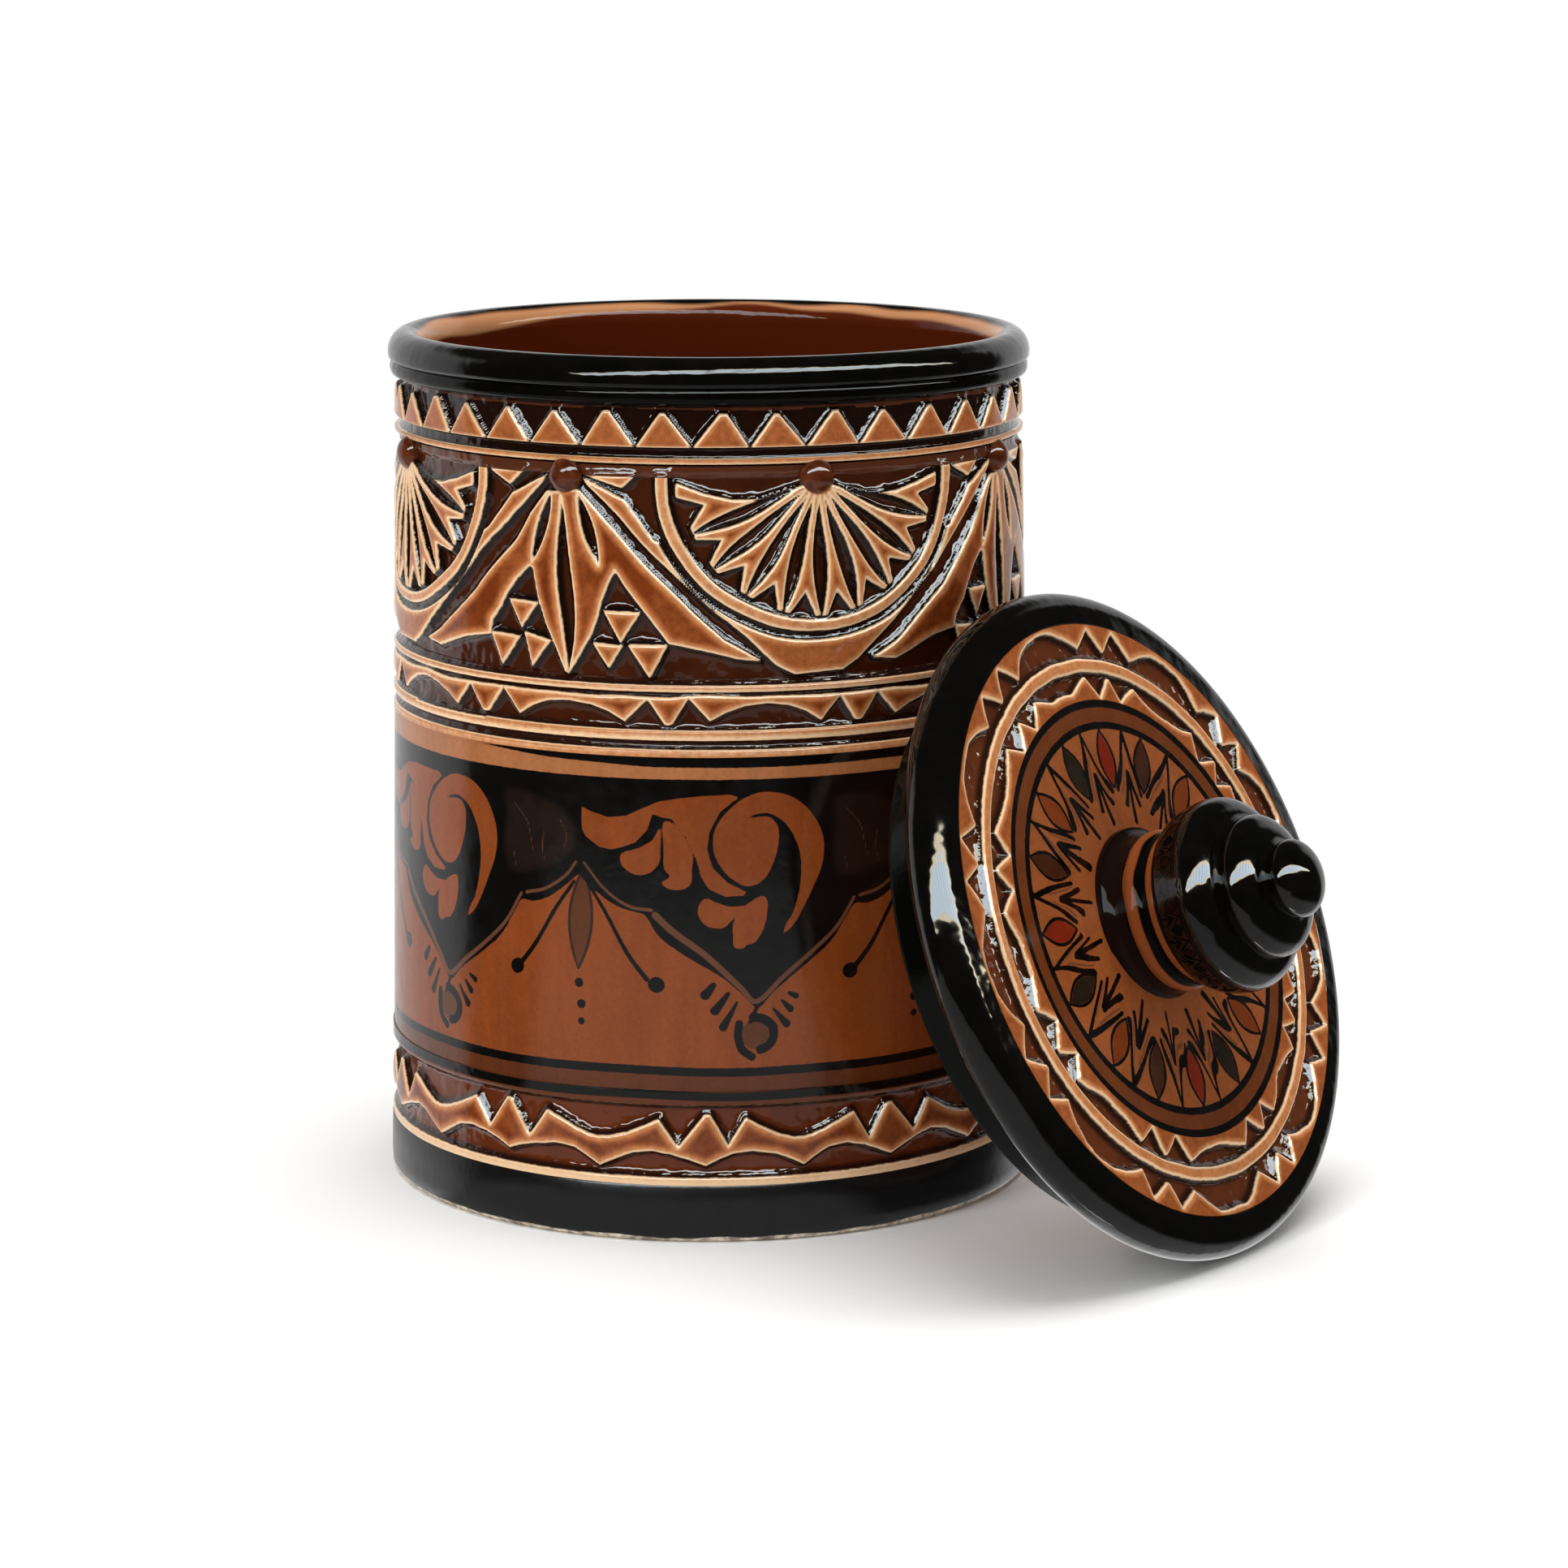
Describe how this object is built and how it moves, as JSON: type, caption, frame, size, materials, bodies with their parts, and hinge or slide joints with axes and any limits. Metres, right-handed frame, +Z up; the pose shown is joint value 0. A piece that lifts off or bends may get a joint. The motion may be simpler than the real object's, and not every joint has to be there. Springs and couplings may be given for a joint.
{
  "type": "lidded ceramic canister",
  "caption": "Straight-sided glazed ceramic canister with carved bands and a flanged lid with a turned knob, shown off and leaning on it.",
  "frame": {"origin": "centre of the jar's flat foot", "axes": "+Z up the jar's axis, -Y the front, the lid leaning at the front right"},
  "size_m": [0.1571, 0.1465, 0.1397],
  "materials": {
    "carved_glaze": "gloss honey-brown glaze over chip carving",
    "bead_glaze": "gloss dark brown glaze",
    "lid_glaze": "gloss honey-brown glaze over chip carving",
    "black_glaze": "gloss black glaze"
  },
  "bodies": {
    "jar": {"jar_body": "carved_glaze", "jar_bead_1": "bead_glaze", "jar_bead_2": "bead_glaze", "jar_bead_3": "bead_glaze", "jar_bead_4": "bead_glaze", "jar_bead_5": "bead_glaze", "jar_bead_6": "bead_glaze", "jar_bead_7": "bead_glaze", "jar_bead_8": "bead_glaze"},
    "lid": {"lid_plate": "lid_glaze", "lid_knob": "black_glaze"}
  },
  "joints": [
    {"name": "lid_lift", "type": "slide", "parent": "jar", "child": "lid", "axis": [0.7577, -0.5227, 0.3907], "range_m": [0, 0.09]}
  ]
}
